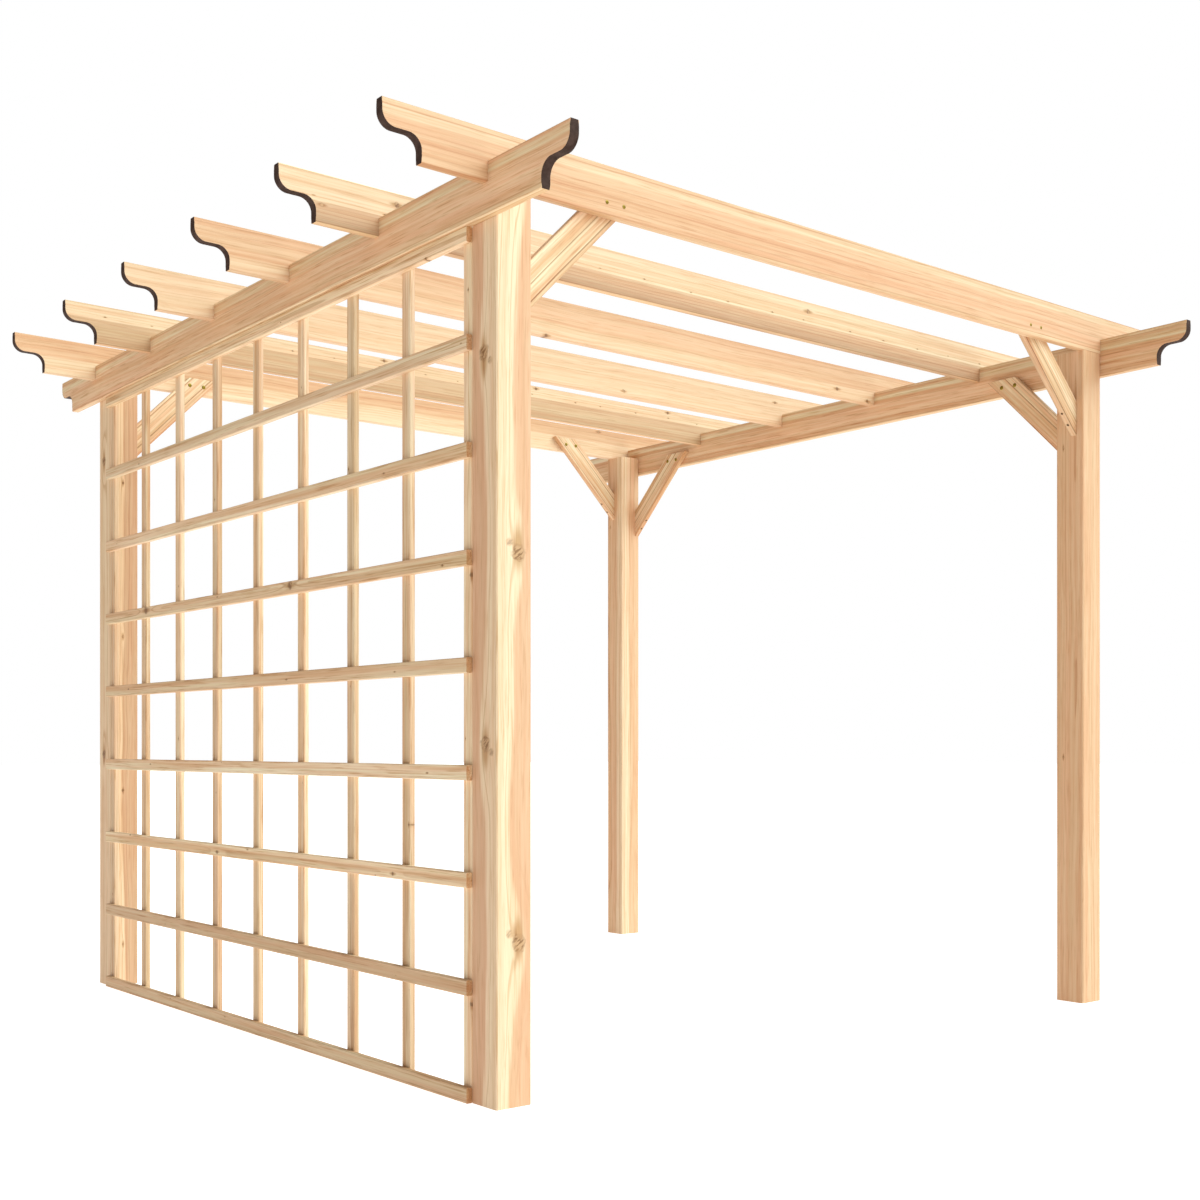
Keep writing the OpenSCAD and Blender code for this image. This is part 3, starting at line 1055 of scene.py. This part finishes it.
def head_shape():
    """One screw head of radius 1, facing z: rings from the hub outwards, then the turned down edge.

    Height is a flattened circle of the distance from the middle, less a recess where the smaller of the
    two arm distances is inside the cross's width and the larger inside its reach. The last ring is a
    little under the face of the wood.
    """
    share = np.linspace(HUB, 1, HEAD_RINGS)[:, None]
    angle = np.arange(HEAD_SPOKES)[None, :] / HEAD_SPOKES * 2 * math.pi
    u, v = share * np.cos(angle), share * np.sin(angle)
    narrow, reach = np.minimum(abs(u), abs(v)), np.maximum(abs(u), abs(v))
    recess = np.clip((CROSS_HALF - narrow) / CROSS_SLOPE, 0, 1)
    recess *= np.clip((CROSS_REACH - reach) / CROSS_END, 0, 1)
    height = DOME * np.sqrt(DOME_ROUND - share**2) - CROSS_DEPTH * recess
    disc = np.stack([u, v, height + np.zeros_like(u)], -1)
    skirt = disc[-1:] * (1, 1, 0) - (0, 0, SKIRT)
    return np.concatenate([disc, skirt])


def screw_heads(name, places, facing, radius, material):
    """Screw heads at many places at once: the shape times its radius, turned outwards and moved there."""
    facing = np.array(facing, float)
    facing /= np.linalg.norm(facing, axis=1, keepdims=True)
    level = np.cross((0.0, 0.0, 1.0), facing)
    level /= np.linalg.norm(level, axis=1, keepdims=True)
    turned = np.stack([level, np.cross(facing, level), facing], 1)
    rings = np.einsum("rsk,nkj->nrsj", head_shape() * radius, turned) + np.array(places)[:, None, None]
    return piece_from_rings(name, rings[:, ::-1], material)


print("a screw head has", (HEAD_RINGS + 1) * HEAD_SPOKES, "points")

# %% [markdown]
# The screws sit in pairs, and each pair is measured from the inner faces of the posts. On the front they
# go through the rafter, with smaller heads, and elsewhere through the brace. A loop over both sides
# keeps the pairs alike, as a drilling template would.

# %% Screw places
FRONT_RADIUS, HEAD_RADIUS, FOOT_RADIUS = 0.0048, 0.0068, 0.0042
FRONT_REACH, HEAD_REACH, FOOT_REACH = (0.226, 0.279), (0.216, 0.269), (0.031, 0.063)
FRONT_RISE, HEAD_RISE, FOOT_DROP = 0.031, 0.027, 0.272
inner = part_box("post_front_right")[0].x
rafter_foot, beam_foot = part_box("rafter_1")[0].z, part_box("beam_right")[0].z
front_face, back_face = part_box("rafter_1")[0].y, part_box("brace_back_left")[0].y
side_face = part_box("brace_side_front")[0].x
front_places, head_places, head_facing, foot_places, foot_facing = [], [], [], [], []
for side in (-1, 1):
    for reach in FRONT_REACH:
        front_places.append((side * (inner - reach), front_face, rafter_foot + FRONT_RISE))
    for reach in HEAD_REACH:
        head_places.append((side * (inner - reach), back_face, rafter_foot + HEAD_RISE))
        head_facing.append((0, -1, 0))
        head_places.append((side_face, side * (inner - reach), beam_foot + HEAD_RISE))
        head_facing.append((-1, 0, 0))
    for reach in FOOT_REACH:
        for brace in ("brace_front_left", "brace_back_left"):
            middle = sum(corner.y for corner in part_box(brace)) / 2
            foot_places.append((side * (inner - reach), middle, rafter_foot - FOOT_DROP + reach))
            foot_facing.append((-side, 0, -1))
        middle = sum(corner.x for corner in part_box("brace_side_front")) / 2
        foot_places.append((middle, side * (inner - reach), beam_foot - FOOT_DROP + reach))
        foot_facing.append((0, -side, -1))
screw_heads("front_screws", front_places, [(0, -1, 0)] * len(front_places), FRONT_RADIUS, brass)
screw_heads("brace_screws", head_places, head_facing, HEAD_RADIUS, brass)
screw_heads("foot_screws", foot_places, foot_facing, FOOT_RADIUS, shaded_bronze)
print("screws:", len(front_places) + len(head_places), "heads and", len(foot_places), "feet")

# %% [markdown]
# The pergola stands on a pale studio floor. A plain white floor would leave the undersides of the rafters
# dark, so this one glows like a light table, and the shadows stay faint.

# %% Floor
FLOOR_HALF = 60.0
FLOOR_GREY, FLOOR_ROUGH = (0.50, 0.50, 0.50, 1), 0.9
GLOW_COLOUR, GLOW_STRENGTH = (1.03, 1.0, 0.995, 1), 0.955
floor_corners = FLOOR_HALF * np.array([(-1, -1, 0), (1, -1, 0), (1, 1, 0), (-1, 1, 0)], float)
floor_mesh = bpy.data.meshes.new("floor")
floor_mesh.from_pydata(floor_corners.tolist(), [], [(0, 1, 2, 3)])
floor = bpy.data.objects.new("floor", floor_mesh)
bpy.context.scene.collection.objects.link(floor)
floor_paint, _, floor_shader = new_material("pale_floor")
feed(floor_shader, {"Base Color": FLOOR_GREY, "Roughness": FLOOR_ROUGH, "Specular IOR Level": 0.0})
feed(floor_shader, {"Emission Color": GLOW_COLOUR, "Emission Strength": GLOW_STRENGTH})
floor_mesh.materials.append(floor_paint)
print("floor:", 2 * FLOOR_HALF, "m wide")

# %% [markdown]
# One broad soft light comes from high in front, a little to the right, and a weak warm fill from all
# round. A small lamp would draw hard shadows of every batten. Behind the object the camera sees only
# white, which a mix by camera ray gives without changing the light.

# %% Light
KEY_HEIGHT, KEY_RIGHT, KEY_SPREAD = math.radians(42.0), math.radians(38.0), math.radians(70.0)
KEY_ENERGY, KEY_COLOUR = 3.9, (0.85, 1.0, 1.03)
FILL_COLOUR, FILL_STRENGTH = (1.0, 0.97, 0.93, 1), 0.30
WHITE = (1, 1, 1, 1)
key = bpy.data.lights.new("key", "SUN")
key.energy = KEY_ENERGY
key.angle = KEY_SPREAD
key.color = KEY_COLOUR
key_lamp = bpy.data.objects.new("key", key)
key_lamp.rotation_euler = (math.pi / 2 - KEY_HEIGHT, 0, KEY_RIGHT)
bpy.context.scene.collection.objects.link(key_lamp)

world = bpy.data.worlds.new("studio")
world.use_nodes = True
sky = world.node_tree
sky.nodes.clear()
fill = put("Background", {"Color": FILL_COLOUR, "Strength": FILL_STRENGTH}, tree=sky)
backdrop = put("Background", {"Color": WHITE, "Strength": 1.0}, tree=sky)
seen = put("LightPath", {}, "Is Camera Ray", tree=sky)
both = put("MixShader", {0: seen, 1: fill, 2: backdrop})
feed(sky.nodes.new("ShaderNodeOutputWorld"), {"Surface": both})
bpy.context.scene.world = world
bpy.context.scene.view_settings.view_transform = "Standard"
print("key light", round(math.degrees(KEY_HEIGHT)), "degrees up")
